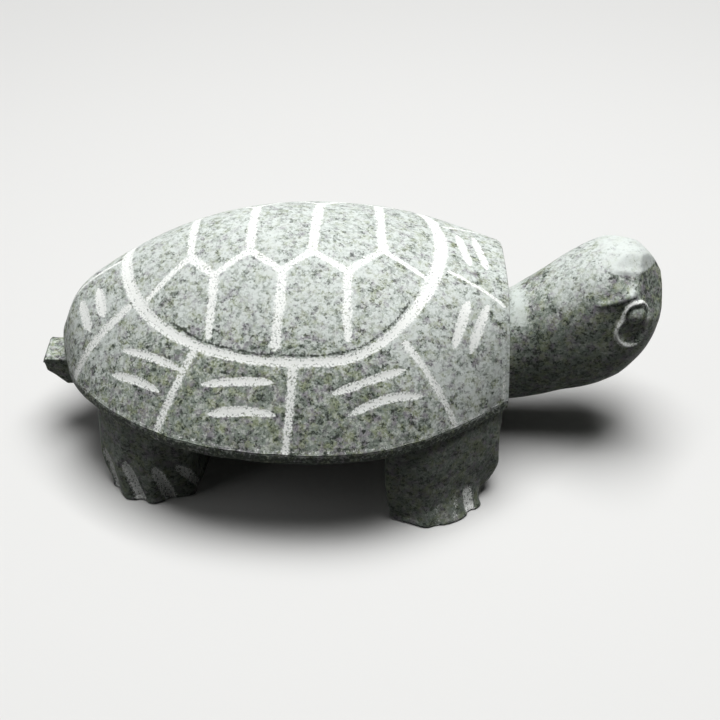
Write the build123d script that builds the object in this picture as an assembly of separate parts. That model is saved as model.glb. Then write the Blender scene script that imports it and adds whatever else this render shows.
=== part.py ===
from build123d import *
import math
import os

# Turtle figurine, carved in stone. Millimetres, head toward +X, its left side toward +Y, soles on Z = 0.
# X = 0 is half way between the tip of the tail and the tip of the nose.

# Shell
SHELL_LENGTH = 75.9
SHELL_HALF_WIDTH = 32.0
RIM_Z = 17.7
RIM_THICKNESS = 2.0
DOME_RISE = 23.9
# Cross-sections from the rear end to the cut front, crowded toward the rear, where the shell curves most.
STATION_SHARES = (0.0, 0.034, 0.134, 0.293, 0.5, 0.741, 1.0)
SECTION_WIDTH_SHARES = (0.19, 0.35, 0.635, 0.885, 1.0, 0.955, 0.565)
SECTION_RISE_SHARES = (0.16, 0.39, 0.65, 0.895, 1.0, 0.89, 0.665)
# A section with a low power has the shape of a roof, and one with a high power that of a barrel vault.
SECTION_POWERS = (2.5, 1.9, 1.6, 1.65, 2.0, 2.65, 3.6)
RIDGE_ROUNDING_SHARE = 0.15
STEPS_PER_SIDE = 7

# Carved lines. Their places are shares of the shell's length from its rear and of its half-width.
GROOVE_DEPTH = 0.55
RING_LINE_WIDTH = 1.8
SCUTE_LINE_WIDTH = 1.8
MARGIN_LINE_WIDTH = 1.3
DASH_WIDTH = 1.2
RING_CENTRE_SHARE = 0.6
RING_REAR_SHARE = 0.44
RING_FRONT_SHARE = 0.26
RING_SIDE_SHARE = 0.75
# Corners of the middle row of scutes: at the row's cross lines, and half way between them.
CROSS_LINE_SHARES = (0.31, 0.44, 0.58, 0.725)
CROSS_LINE_SIDE_SHARE = 0.2
CORNER_SHARES = (0.37, 0.515, 0.65)
CORNER_SIDE_SHARE = 0.34
# Lower ends of the lines from those corners down the sides, and of the lines that close the row's ends.
SIDE_LINE_END_SHARES = ((0.36, 0.61), (0.505, 0.69), (0.655, 0.68))
ROW_END_SHARES = ((0.22, 0.32), (0.83, 0.32))
# Lines from the ring out to the rim, and the pairs of dashes between them.
MARGIN_START_SHARES = ((0.17, 0.35), (0.33, 0.65), (0.54, 0.75), (0.77, 0.66), (0.86, 0.27))
MARGIN_END_SHARES = ((0.04, 0.38), (0.25, 0.8), (0.53, 1.01), (0.89, 0.81), (1.0, 0.47))
TAIL_LINE_SHARES = (0.17, 0.0)
DASH_START_SHARES = (
    (0.09, 0.15), (0.05, 0.13), (0.16, 0.5), (0.14, 0.56), (0.35, 0.78),
    (0.37, 0.87), (0.63, 0.85), (0.66, 0.92), (0.915, 0.42), (0.96, 0.4),
)
DASH_END_SHARES = (
    (0.11, 0.29), (0.08, 0.29), (0.275, 0.67), (0.25, 0.72), (0.49, 0.81),
    (0.49, 0.91), (0.765, 0.76), (0.8, 0.82), (0.885, 0.61), (0.92, 0.595),
)
NECK_DASH_SHARES = (0.9, 0.94)
NECK_DASH_SIDE_SHARE = 0.125

# Body block under the shell: chest between the front legs, bridge between the pairs, hips at the rear
BELLY_Z = 7.0
CHEST_HALF_WIDTH = 13.0
CHEST_LENGTH = 21.6
BRIDGE_HALF_WIDTH = 20.0
BRIDGE_LENGTH = 20.0
BRIDGE_SLOPE_LENGTH = 3.0
HIP_HALF_WIDTH = 11.0
REAR_OVERHANG = 7.3
BELLY_ROUNDING = 1.5
BOSS_LENGTH = 30.0
BOSS_WIDTH = 18.0
BOSS_HEIGHT = 4.0
BOSS_CORNER = 5.0

# Pegs and tenons between the pieces
FIT_CLEARANCE = 0.1
NECK_PEG_DIAMETER = 7.0
NECK_PEG_LENGTH = 6.0
NECK_PEG_RISE = 3.8
TAIL_PEG_DIAMETER = 3.6
TAIL_PEG_LENGTH = 5.0
TENON_LENGTH = 4.0
TENON_WIDTH = 8.0
TENON_HEIGHT = 5.0

# Neck and head: upright oval sections from the shell's front to the nose
NECK_REACH = 26.9
NECK_ROOT_DROP = 1.8
NECK_RISE = 10.9
HEAD_HALF_WIDTH = 10.3
HEAD_HALF_HEIGHT = 12.8
NECK_STATION_SHARES = (0.0, 0.2, 0.42, 0.65, 0.8, 0.92, 1.0)
NECK_RISE_SHARES = (0.0, 0.2, 0.48, 0.73, 0.87, 0.95, 1.0)
NECK_WIDTH_SHARES = (0.83, 0.86, 0.94, 1.0, 0.93, 0.72, 0.37)
NECK_HEIGHT_SHARES = (0.77, 0.89, 0.98, 1.0, 0.89, 0.67, 0.375)
EYE_REACH_SHARE = 0.775
EYE_RISE_SHARE = 1.05
EYE_SIDE_SHARE = 0.9
EYE_PROUD = 0.4
EYE_ROOT_DEPTH = 3.0
EYE_DIAMETER = 6.8
PUPIL_DIAMETER = 3.4
EYE_GROOVE_WIDTH = 0.9
EYE_GROOVE_DEPTH = 0.5
EYE_TURN = 24.0
EYE_TILT = 12.0

# Legs. Each outline is a table of shares: of the leg's length from its rear, and of its reach from the body.
FRONT_LEG_LENGTH = 20.0
FRONT_LEG_REACH = 17.2
FRONT_LEG_SETBACK = 0.5
FRONT_TOP_SHARES = ((0.0, 0.0), (0.0, 0.87), (0.32, 0.83), (0.65, 0.62), (1.0, 0.26), (1.0, 0.0))
FRONT_SHIN_SHARES = ((0.0, 0.0), (0.0, 0.91), (0.34, 0.91), (0.65, 0.71), (0.98, 0.41), (0.98, 0.0))
FRONT_SOLE_SHARES = ((0.02, 0.23), (0.05, 0.85), (0.34, 1.0), (0.6, 0.92), (0.82, 0.67), (0.77, 0.23))
FRONT_TOE_SHARES = (0.3, 0.55, 0.8)
REAR_LEG_LENGTH = 18.2
REAR_LEG_REACH = 13.4
REAR_LEG_SETBACK = 0.3
REAR_TOP_SHARES = ((0.0, 0.0), (0.01, 0.37), (0.26, 0.72), (0.59, 0.99), (0.95, 0.97), (1.0, 0.0))
REAR_SHIN_SHARES = ((0.0, 0.0), (0.0, 0.46), (0.24, 0.81), (0.53, 1.0), (0.86, 0.84), (0.95, 0.0))
REAR_SOLE_SHARES = ((0.14, 0.11), (0.11, 0.64), (0.25, 0.85), (0.47, 0.94), (0.77, 0.7), (0.86, 0.11))
REAR_TOE_SHARES = (0.2, 0.45, 0.7)
SHIN_Z = 7.0
TOE_GROOVE_WIDTH = 0.9
TOE_GROOVE_DEPTH = 1.2
TOE_GROOVE_HEIGHT = 5.5

# Tail: its tip stands out behind the rim and its root runs under the shell to the body
TAIL_REACH = 5.2
TAIL_TIP_LENGTH = 1.8
TAIL_TIP_DROP = 2.7
TAIL_THICKNESS = 6.5
TAIL_UNDER_LENGTH = 4.5
TAIL_ROOT_WIDTH = 10.0
TAIL_TIP_WIDTH = 4.0

RIM_BASE_Z = RIM_Z - RIM_THICKNESS
BODY_HEIGHT = RIM_BASE_Z - BELLY_Z
TENON_Z = (RIM_BASE_Z + BELLY_Z) / 2
SHELL_REAR_X = TAIL_REACH - (TAIL_REACH + SHELL_LENGTH + NECK_REACH) / 2
SHELL_FRONT_X = SHELL_REAR_X + SHELL_LENGTH
BODY_REAR_X = SHELL_REAR_X + REAR_OVERHANG
CHEST_REAR_X = SHELL_FRONT_X - CHEST_LENGTH
BRIDGE_FRONT_X = CHEST_REAR_X - BRIDGE_SLOPE_LENGTH
BRIDGE_REAR_X = BRIDGE_FRONT_X - BRIDGE_LENGTH
HIP_FRONT_X = BRIDGE_REAR_X - BRIDGE_SLOPE_LENGTH
QUARTER_TURN = 90.0


def section_drop(share, power):
    """Share of its rise that a section has lost at a share of its half-width: 0 on the ridge, 1 at the rim."""
    start = RIDGE_ROUNDING_SHARE**power
    whole = math.hypot(1, RIDGE_ROUNDING_SHARE)**power - start
    return (math.hypot(share, RIDGE_ROUNDING_SHARE)**power - start) / whole


def shell_section(station, inset):
    """Upright outline of the shell at one station: the arch, two short sides and a flat base."""
    x = SHELL_REAR_X + STATION_SHARES[station] * SHELL_LENGTH
    half_width = SECTION_WIDTH_SHARES[station] * SHELL_HALF_WIDTH - inset
    rise = SECTION_RISE_SHARES[station] * DOME_RISE - inset
    power = SECTION_POWERS[station]
    arch = []
    for step in range(-STEPS_PER_SIDE, STEPS_PER_SIDE + 1):
        share = math.sin(math.pi / 2 * step / STEPS_PER_SIDE)
        arch.append(Vector(x, half_width * share, RIM_Z + rise * (1 - section_drop(abs(share), power))))
    left = Vector(x, half_width, RIM_BASE_Z)
    right = Vector(x, -half_width, RIM_BASE_Z)
    return Face(Wire([Spline(*arch), Line(arch[-1], left), Line(left, right), Line(right, arch[0])]))


def shell_solid(inset):
    """Solid through all the sections, from the rear end to the cut front."""
    return loft([shell_section(station, inset) for station in range(len(STATION_SHARES))])


def shell_place(shares, side):
    """Place on the shell's plan for a pair of shares; side is 1 on the left and -1 on the right."""
    return SHELL_REAR_X + shares[0] * SHELL_LENGTH, side * shares[1] * SHELL_HALF_WIDTH


def stroke(start, end, width):
    """Flat outline of one carved stroke with round ends."""
    turn = math.degrees(math.atan2(end[1] - start[1], end[0] - start[0]))
    middle = Pos((start[0] + end[0]) / 2, (start[1] + end[1]) / 2)
    return middle * Rot(0, 0, turn) * SlotCenterToCenter(math.dist(start, end), width)


def egg(grow):
    """Egg outline of the ring: half an ellipse behind its centre and half a shorter one in front."""
    half_width = RING_SIDE_SHARE * SHELL_HALF_WIDTH + grow
    rear = RING_REAR_SHARE * SHELL_LENGTH + grow
    front = RING_FRONT_SHARE * SHELL_LENGTH + grow
    rear_half = Ellipse(rear, half_width) & Pos(-rear / 2, 0) * Rectangle(rear, 2 * half_width)
    front_half = Ellipse(front, half_width) & Pos(front / 2, 0) * Rectangle(front, 2 * half_width)
    return Pos(*shell_place((RING_CENTRE_SHARE, 0), 1)) * (rear_half + front_half)


def side_strokes(side):
    """Strokes on one side of the shell; side is 1 on the left and -1 on the right."""
    crossings = [shell_place((share, CROSS_LINE_SIDE_SHARE), side) for share in CROSS_LINE_SHARES]
    corners = [shell_place((share, CORNER_SIDE_SHARE), side) for share in CORNER_SHARES]
    ends = [shell_place(shares, side) for shares in SIDE_LINE_END_SHARES]
    row_ends = [shell_place(shares, side) for shares in ROW_END_SHARES]
    lines = [(crossings[0], row_ends[0]), (crossings[-1], row_ends[1])]
    for number, corner in enumerate(corners):
        lines += [(crossings[number], corner), (corner, crossings[number + 1]), (corner, ends[number])]
    strokes = [stroke(start, end, SCUTE_LINE_WIDTH) for start, end in lines]
    for starts, ends, width in (
        (MARGIN_START_SHARES, MARGIN_END_SHARES, MARGIN_LINE_WIDTH),
        (DASH_START_SHARES, DASH_END_SHARES, DASH_WIDTH),
    ):
        for start, end in zip(starts, ends):
            strokes.append(stroke(shell_place(start, side), shell_place(end, side), width))
    return strokes


def middle_strokes():
    """Strokes that cross or follow the middle of the shell."""
    strokes = []
    for share in CROSS_LINE_SHARES:
        ends = [shell_place((share, CROSS_LINE_SIDE_SHARE), side) for side in (-1, 1)]
        strokes.append(stroke(*ends, SCUTE_LINE_WIDTH))
    for share in NECK_DASH_SHARES:
        ends = [shell_place((share, NECK_DASH_SIDE_SHARE), side) for side in (-1, 1)]
        strokes.append(stroke(*ends, DASH_WIDTH))
    tail_line = [shell_place((share, 0), 1) for share in TAIL_LINE_SHARES]
    strokes.append(stroke(*tail_line, MARGIN_LINE_WIDTH))
    return strokes


def carving():
    """What the carved lines take away: the strokes as upright walls, above a slightly smaller shell."""
    ring = egg(RING_LINE_WIDTH / 2) - egg(-RING_LINE_WIDTH / 2)
    flat = ring + (middle_strokes() + side_strokes(1) + side_strokes(-1))
    return extrude(Pos(0, 0, RIM_Z) * flat, DOME_RISE) - shell_solid(GROOVE_DEPTH)


def peg(diameter, length, grow):
    """Round peg along +X from the origin, grown by a clearance to make its socket."""
    return Rot(0, QUARTER_TURN, 0) * extrude(Circle(diameter / 2 + grow), length + grow)


def neck_peg(grow):
    """Peg of the neck in the shell's cut front."""
    turned = Rot(0, 0, 2 * QUARTER_TURN) * peg(NECK_PEG_DIAMETER, NECK_PEG_LENGTH, grow)
    return Pos(SHELL_FRONT_X, 0, RIM_Z + NECK_PEG_RISE) * turned


def tail_peg(grow):
    """Peg of the tail in the rear of the body."""
    return Pos(BODY_REAR_X, 0, TENON_Z) * peg(TAIL_PEG_DIAMETER, TAIL_PEG_LENGTH, grow)


def leg_tenon(leg_middle_x, body_half_width, grow):
    """Tenon of a right leg in the side of the body."""
    depth = TENON_LENGTH + grow
    block = Box(TENON_WIDTH + 2 * grow, depth, TENON_HEIGHT + 2 * grow)
    return Pos(leg_middle_x, depth / 2 - body_half_width, TENON_Z) * block


def front_tenon(grow):
    """Tenon of the right front leg."""
    return leg_tenon(SHELL_FRONT_X - FRONT_LEG_SETBACK - FRONT_LEG_LENGTH / 2, CHEST_HALF_WIDTH, grow)


def rear_tenon(grow):
    """Tenon of the right rear leg."""
    return leg_tenon(BODY_REAR_X + REAR_LEG_SETBACK + REAR_LEG_LENGTH / 2, HIP_HALF_WIDTH, grow)


def boss(grow):
    """Low block on top of the body that enters the shell's pocket."""
    outline = RectangleRounded(BOSS_LENGTH + 2 * grow, BOSS_WIDTH + 2 * grow, BOSS_CORNER + grow)
    middle_x = (BRIDGE_FRONT_X + BRIDGE_REAR_X) / 2
    return Pos(middle_x, 0, RIM_BASE_Z) * extrude(outline, BOSS_HEIGHT + grow)


def carapace():
    """Shell with its carved lines, the pocket for the body's boss and the socket for the neck."""
    return shell_solid(0) - carving() - boss(FIT_CLEARANCE) - neck_peg(FIT_CLEARANCE)


def body():
    """Belly block with the boss on top, mortises for the legs and a socket for the tail."""
    left = [
        (SHELL_FRONT_X, CHEST_HALF_WIDTH),
        (CHEST_REAR_X, CHEST_HALF_WIDTH),
        (BRIDGE_FRONT_X, BRIDGE_HALF_WIDTH),
        (BRIDGE_REAR_X, BRIDGE_HALF_WIDTH),
        (HIP_FRONT_X, HIP_HALF_WIDTH),
        (BODY_REAR_X, HIP_HALF_WIDTH),
    ]
    right = [(x, -y) for x, y in reversed(left)]
    block = Pos(0, 0, BELLY_Z) * extrude(make_face(Polyline(*left, *right, close=True)), BODY_HEIGHT)
    block = fillet(block.faces().sort_by(Axis.Z)[0].edges(), BELLY_ROUNDING)
    block += boss(0)
    for mortise in (front_tenon(FIT_CLEARANCE), rear_tenon(FIT_CLEARANCE)):
        block -= mortise
        block -= mirror(mortise, Plane.XZ)
    return block - tail_peg(FIT_CLEARANCE)


def toe_groove(start, end, share, centre):
    """Upright groove in the foot's outer edge, at a share of the way between two points of its sole."""
    x = start[0] + share * (end[0] - start[0])
    y = start[1] + share * (end[1] - start[1])
    turn = math.degrees(math.atan2(y - centre[1], x - centre[0]))
    cutter = Box(2 * TOE_GROOVE_DEPTH, TOE_GROOVE_WIDTH, 2 * TOE_GROOVE_HEIGHT)
    return Pos(x, y, 0) * Rot(0, 0, turn) * cutter


def right_leg(rear_x, length, body_half_width, reach, outlines, toe_shares):
    """Right leg through three level outlines, at the shell, the shin and the sole, with grooves between its toes."""
    rings = []
    for shares, z in zip(outlines, (RIM_BASE_Z, SHIN_Z, 0)):
        rings.append([(rear_x + along * length, -body_half_width - out * reach, z) for along, out in shares])
    top, shin, sole = [make_face(Polyline(*ring, close=True)) for ring in rings]
    leg = loft([sole, shin], ruled=True) + loft([shin, top], ruled=True)
    outer = rings[2][2:5]
    centre = (rear_x + length / 2, -body_half_width)
    for share in toe_shares:
        leg -= toe_groove(outer[0], outer[-1], share, centre)
    return leg


def front_right_leg():
    """Right front leg, level with the shell's cut front."""
    rear_x = SHELL_FRONT_X - FRONT_LEG_SETBACK - FRONT_LEG_LENGTH
    outlines = (FRONT_TOP_SHARES, FRONT_SHIN_SHARES, FRONT_SOLE_SHARES)
    leg = right_leg(rear_x, FRONT_LEG_LENGTH, CHEST_HALF_WIDTH, FRONT_LEG_REACH, outlines, FRONT_TOE_SHARES)
    return leg + front_tenon(0)


def rear_right_leg():
    """Right rear leg, under the rear of the rim."""
    rear_x = BODY_REAR_X + REAR_LEG_SETBACK
    outlines = (REAR_TOP_SHARES, REAR_SHIN_SHARES, REAR_SOLE_SHARES)
    leg = right_leg(rear_x, REAR_LEG_LENGTH, HIP_HALF_WIDTH, REAR_LEG_REACH, outlines, REAR_TOE_SHARES)
    return leg + rear_tenon(0)


def eye(side):
    """Flat eye that stands out from one side of the head, and the groove around its pupil."""
    x = SHELL_FRONT_X + EYE_REACH_SHARE * NECK_REACH
    z = RIM_Z - NECK_ROOT_DROP + EYE_RISE_SHARE * NECK_RISE
    out = Rot(0, 0, -side * EYE_TURN) * Rot(-side * (QUARTER_TURN - EYE_TILT), 0, 0)
    place = Pos(x, side * EYE_SIDE_SHARE * HEAD_HALF_WIDTH, z) * out
    disc = place * Pos(0, 0, -EYE_ROOT_DEPTH) * extrude(Circle(EYE_DIAMETER / 2), EYE_ROOT_DEPTH + EYE_PROUD)
    ring = Circle(PUPIL_DIAMETER / 2 + EYE_GROOVE_WIDTH) - Circle(PUPIL_DIAMETER / 2)
    groove = place * Pos(0, 0, EYE_PROUD - EYE_GROOVE_DEPTH) * extrude(ring, EYE_GROOVE_DEPTH)
    return disc, groove


def head_and_neck():
    """Neck and head through upright ovals, with the carved eyes and the peg behind."""
    sections = []
    for along, up, wide, high in zip(NECK_STATION_SHARES, NECK_RISE_SHARES, NECK_WIDTH_SHARES, NECK_HEIGHT_SHARES):
        place = Pos(SHELL_FRONT_X + along * NECK_REACH, 0, RIM_Z - NECK_ROOT_DROP + up * NECK_RISE)
        sections.append(place * Rot(0, QUARTER_TURN, 0) * Ellipse(high * HEAD_HALF_HEIGHT, wide * HEAD_HALF_WIDTH))
    head = loft(sections)
    for side in (1, -1):
        disc, groove = eye(side)
        head += disc
        head -= groove
    return head + neck_peg(0)


def tail():
    """Wedge that narrows to the tail's tip, cut to its outline from the side and from above."""
    tip_x = SHELL_REAR_X - TAIL_REACH
    under_z = RIM_BASE_Z - TAIL_THICKNESS
    side_view = [
        (tip_x, RIM_BASE_Z - TAIL_TIP_DROP),
        (tip_x + TAIL_TIP_LENGTH, RIM_BASE_Z),
        (BODY_REAR_X, RIM_BASE_Z),
        (BODY_REAR_X, under_z),
        (tip_x + TAIL_UNDER_LENGTH, under_z),
    ]
    left = [
        (tip_x, TAIL_TIP_WIDTH / 2),
        (SHELL_REAR_X, TAIL_ROOT_WIDTH / 2),
        (BODY_REAR_X, TAIL_ROOT_WIDTH / 2),
    ]
    right = [(x, -y) for x, y in reversed(left)]
    wedge = extrude(make_face(Plane.XZ * Polyline(*side_view, close=True)), TAIL_ROOT_WIDTH / 2, both=True)
    plan = extrude(make_face(Polyline(*left, *right, close=True)), RIM_Z)
    return (wedge & plan) + tail_peg(0)


right_legs = {"front": front_right_leg(), "rear": rear_right_leg()}
pieces = {"carapace": carapace(), "body": body(), "head_and_neck": head_and_neck(), "tail": tail()}
for end, leg in right_legs.items():
    pieces[f"{end}_right_leg"] = leg
    pieces[f"{end}_left_leg"] = mirror(leg, Plane.XZ)
os.makedirs("parts", exist_ok=True)
for name, piece in pieces.items():
    export_step(piece, f"parts/{name}.step")
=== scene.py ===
import math

import bpy
import numpy as np
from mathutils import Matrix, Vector


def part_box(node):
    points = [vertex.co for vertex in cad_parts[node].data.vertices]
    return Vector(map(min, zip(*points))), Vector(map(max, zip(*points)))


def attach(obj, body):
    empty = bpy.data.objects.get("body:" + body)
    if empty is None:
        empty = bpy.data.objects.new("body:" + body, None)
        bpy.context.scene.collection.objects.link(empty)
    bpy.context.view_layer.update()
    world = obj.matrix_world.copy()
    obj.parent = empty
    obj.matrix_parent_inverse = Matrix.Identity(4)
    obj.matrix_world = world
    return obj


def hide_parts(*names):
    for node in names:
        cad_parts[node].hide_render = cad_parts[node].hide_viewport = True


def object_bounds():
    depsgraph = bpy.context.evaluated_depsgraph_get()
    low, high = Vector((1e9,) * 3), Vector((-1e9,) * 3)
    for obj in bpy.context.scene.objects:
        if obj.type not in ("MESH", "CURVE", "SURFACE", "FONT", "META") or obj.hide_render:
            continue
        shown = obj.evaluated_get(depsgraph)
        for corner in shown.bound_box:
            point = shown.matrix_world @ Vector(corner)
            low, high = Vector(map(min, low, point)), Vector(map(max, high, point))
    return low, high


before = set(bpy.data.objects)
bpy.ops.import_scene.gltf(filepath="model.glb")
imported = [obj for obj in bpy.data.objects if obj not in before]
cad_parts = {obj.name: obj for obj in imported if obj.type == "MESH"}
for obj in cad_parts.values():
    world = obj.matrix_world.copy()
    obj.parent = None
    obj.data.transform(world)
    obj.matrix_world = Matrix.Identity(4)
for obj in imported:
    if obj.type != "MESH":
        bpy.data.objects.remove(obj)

bl_info = {
    "name": "Carved stone turtle",
    "version": (1, 0, 0),
    "blender": (4, 5, 0),
    "location": "3D View > Sidebar > Turtle",
    "description": "Builds a small turtle carved in speckled stone over its solid model",
    "category": "Add Mesh",
}

CAD_BOUNDS = [list(corner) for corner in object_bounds()]
SHELL_LOW, SHELL_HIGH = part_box("carapace")
BODY_LOW, BODY_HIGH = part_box("body")
TAIL_LOW, TAIL_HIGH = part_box("tail")
NOSE_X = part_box("head_and_neck")[1].x
FRONT_LEG_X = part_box("front_right_leg")[0].x
REAR_LEG_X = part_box("rear_right_leg")[0].x
MM = 0.001

# Upright sections of the shell from its rear end to its cut front: share of the length, share of the
# half-width, share of the rise, and the power that makes the arch like a roof (low) or a barrel (high).
SHELL_STATIONS = np.array([
    (0.0, 0.125, 0.16, 2.5),
    (0.034, 0.35, 0.39, 1.9),
    (0.134, 0.635, 0.65, 1.6),
    (0.293, 0.885, 0.895, 1.65),
    (0.5, 1.0, 1.0, 2.0),
    (0.741, 0.955, 0.89, 2.65),
    (1.0, 0.565, 0.665, 3.6),
])
RIDGE_ROUNDING = 0.15
SHELL_ROWS, ARCH_POINTS, BASE_POINTS = 232, 313, 14

# Corners of the zigzag on each half of the dome: shares of the shell's length from its rear and of its
# half-width. The corners of both halves have the same numbers.
RIGHT_CORNERS = (
    (0.31, 0.19), (0.22, 0.32), (0.365, 0.322), (0.441, 0.225), (0.357, 0.575), (0.511, 0.35),
    (0.575, 0.24), (0.5, 0.665), (0.652, 0.345), (0.726, 0.17), (0.651, 0.65), (0.83, 0.33),
)
LEFT_CORNERS = (
    (0.312, 0.19), (0.22, 0.32), (0.37, 0.335), (0.446, 0.215), (0.36, 0.575), (0.515, 0.4),
    (0.588, 0.28), (0.505, 0.665), (0.655, 0.46), (0.718, 0.38), (0.656, 0.65), (0.79, 0.48),
)
# Scute lines of both halves: the corners at their ends, their sideways bow as a share of their length, and
# their widths at both ends, on the right and on the left, as shares of the scute line width.
SCUTE_LINES = (
    (0, 1, 0.0, (0.65, 0.65), (0.65, 0.65)),
    (0, 2, 0.0, (0.85, 0.85), (0.85, 0.8)),
    (2, 3, 0.0, (0.75, 0.75), (0.75, 0.8)),
    (2, 4, 0.02, (0.95, 0.8), (0.95, 0.8)),
    (3, 5, 0.0, (0.75, 0.8), (0.75, 0.8)),
    (5, 6, 0.0, (0.75, 0.75), (0.75, 0.8)),
    (5, 7, 0.02, (1.0, 1.05), (0.95, 1.0)),
    (6, 8, 0.0, (0.8, 0.8), (0.8, 0.8)),
    (8, 9, 0.0, (0.8, 0.75), (0.8, 0.75)),
    (8, 10, -0.02, (0.95, 0.9), (0.9, 0.9)),
    (9, 11, 0.0, (0.7, 0.5), (0.7, 0.6)),
)
# Scute lines over the ridge, from a corner on the right to its fellow on the left, and their widths.
RIDGE_LINES = ((0, 0.9), (3, 0.95), (6, 1.0), (9, 1.0))
# Other lines as (kind, start, end, bow, widths), cut alike on both sides or once over the middle.
SIDE_LINES = (
    ("margin", (0.174, 0.31), (0.042, 0.378), 0.0, (1.1, 1.1)),
    ("margin", (0.325, 0.615), (0.245, 0.82), 0.0, (1.05, 0.95)),
    ("margin", (0.537, 0.73), (0.519, 1.02), 0.02, (1.25, 0.75)),
    ("margin", (0.772, 0.64), (0.905, 0.81), -0.03, (0.95, 0.75)),
    ("margin", (0.868, 0.225), (1.0, 0.347), 0.0, (0.55, 0.45)),
    ("dash", (0.095, 0.12), (0.114, 0.275), -0.01, (1.4, 1.4)),
    ("dash", (0.053, 0.115), (0.081, 0.29), -0.01, (1.4, 1.4)),
    ("dash", (0.165, 0.472), (0.3, 0.665), 0.01, (0.95, 0.9)),
    ("dash", (0.142, 0.533), (0.25, 0.699), 0.01, (0.95, 0.9)),
    ("dash", (0.347, 0.74), (0.495, 0.786), 0.0, (0.95, 0.95)),
    ("dash", (0.36, 0.842), (0.498, 0.887), 0.02, (1.0, 1.0)),
    ("dash", (0.62, 0.836), (0.769, 0.727), -0.015, (0.9, 0.95)),
    ("dash", (0.652, 0.897), (0.805, 0.783), 0.02, (0.9, 1.0)),
    ("dash", (0.909, 0.38), (0.875, 0.587), 0.0, (1.1, 1.2)),
    ("dash", (0.951, 0.365), (0.911, 0.572), 0.0, (1.05, 1.15)),
)
MIDDLE_LINES = (
    ("margin", (0.155, 0.0), (0.022, 0.0), 0.0, (0.7, 0.6)),
    ("dash", (0.916, -0.13), (0.896, 0.15), 0.0, (1.1, 1.0)),
    ("dash", (0.954, -0.125), (0.932, 0.17), 0.0, (1.1, 1.0)),
)
# How pale each kind of line is, and how far from its middle it fades out, in half-widths.
LINE_STRENGTH = {"scute": 0.85, "margin": 0.8, "dash": 1.1}
RING_STRENGTH = 1.1
FADE_OUT = 1.5
# Points further from a line or the ring than this, in half-widths, aren't compared with it.
LINE_REACH, RING_REACH = 2.4, 3.2
# Egg-shaped ring: share of the length for its centre, its rear and its front, and share of the half-width.
RING_CENTRE, RING_REAR, RING_FRONT, RING_SIDE = 0.597, 0.439, 0.258, 0.736
# Chips of the rim: share of the edge's rounding, spread as a share of the rim's thickness, wavelength in
# millimetres and seed.
RIM_CHIPS = ((0.4, 1.0, 6, 3), (0.3, 0.45, 4, 7))
# Painted light that makes the stone paler toward the shell's ends: weight, and where it starts and is whole,
# in millimetres.
PALE_ENDS = ((0.7, 4, 14), (0.4, 13, 22), (0.85, -28, -42))

# Upright sections of neck and head: shares of the reach, of the rise, of the half-width and of the
# half-height.
NECK_STATIONS = np.array([
    (0.0, 0.0, 0.83, 0.77),
    (0.2, 0.2, 0.86, 0.89),
    (0.42, 0.48, 0.94, 0.98),
    (0.65, 0.73, 1.0, 1.0),
    (0.8, 0.87, 0.93, 0.89),
    (0.92, 0.95, 0.72, 0.67),
    (0.985, 0.99, 0.42, 0.42),
])
# The power of the head's oval outline at shares of the reach, and the sizes of the loops that close the
# nose.
HEAD_POWERS = ((0, 0.4, 0.75, 1), (2.1, 2.2, 2.6, 2.4))
NOSE_LOOPS = np.array([0.995, 0.97, 0.92, 0.84, 0.72, 0.56, 0.36, 0.15])
HEAD_ROWS, HEAD_COLUMNS = 224, 320
# Facets planed on the left of the head, mirrored on the right: a place on each in millimetres and the
# direction that it faces. The higher the sharpness, the crisper their edges.
HEAD_FACETS = (
    ((44.0, 8.3, 32.6), (-0.15, 0.85, 0.55)),
    ((47.3, 7.5, 33.0), (0.22, 0.62, 0.75)),
    ((47.5, 9.2, 30.0), (0.12, 1.0, 0.1)),
    ((50.6, 4.7, 32.0), (0.76, 0.49, 0.42)),
)
FACET_SHARPNESS = 90.0
# The left eye's seat, and the direction that "ahead" on the face follows.
EYE_SEAT = np.array([47.7, 9.7, 27.4]) * MM
EYE_FORWARD = [1.0, 0, 0.25]
# Ovals whose joined outline the lids follow: millimetres ahead of and above the seat, relative width and
# height. The higher the blend, the tighter they join.
LID_OVALS = ((0.8, 1.1, 0.9, 1.05), (-0.45, -1.7, 1.12, 1.18))
LID_BLEND = 6
# Strokes over the eye: height, slope, thickness, and where they start and end, in millimetres.
BROW = (4.6, 0.08, 0.55, (-6, -3.5), (0.8, 2.2))
# The crease stroke lays only painted shade under the brow
BROW_CREASE = (4.1, 0.1, 0.45, (-4, -2.5), (1.2, 2.4))
# The forehead's front edge falls forward from this place, in millimetres.
FOREHEAD_X, FOREHEAD_Z, FOREHEAD_FALL = 44.8, 34.8, 0.18

# Level outlines of the right legs at the sole, the shin and the shell: shares of the length from the rear
# and of the reach from the body.
FRONT_OUTLINES = (
    ((0.02, -0.08), (0.05, 0.85), (0.34, 1.0), (0.6, 0.92), (0.82, 0.67), (0.77, -0.08)),
    ((0.0, -0.08), (0.0, 0.91), (0.34, 0.91), (0.65, 0.71), (0.98, 0.41), (0.98, -0.08)),
    ((0.0, -0.08), (0.0, 0.87), (0.32, 0.83), (0.65, 0.62), (1.0, 0.26), (1.0, -0.08)),
)
REAR_OUTLINES = (
    ((0.1, -0.08), (0.07, 0.62), (0.23, 0.88), (0.47, 0.97), (0.86, 0.78), (0.97, -0.08)),
    ((-0.03, -0.08), (-0.03, 0.5), (0.22, 0.83), (0.53, 1.0), (0.86, 0.84), (0.95, -0.08)),
    ((-0.03, -0.08), (-0.03, 0.43), (0.24, 0.76), (0.59, 0.99), (0.95, 0.97), (1.0, -0.08)),
)
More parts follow.
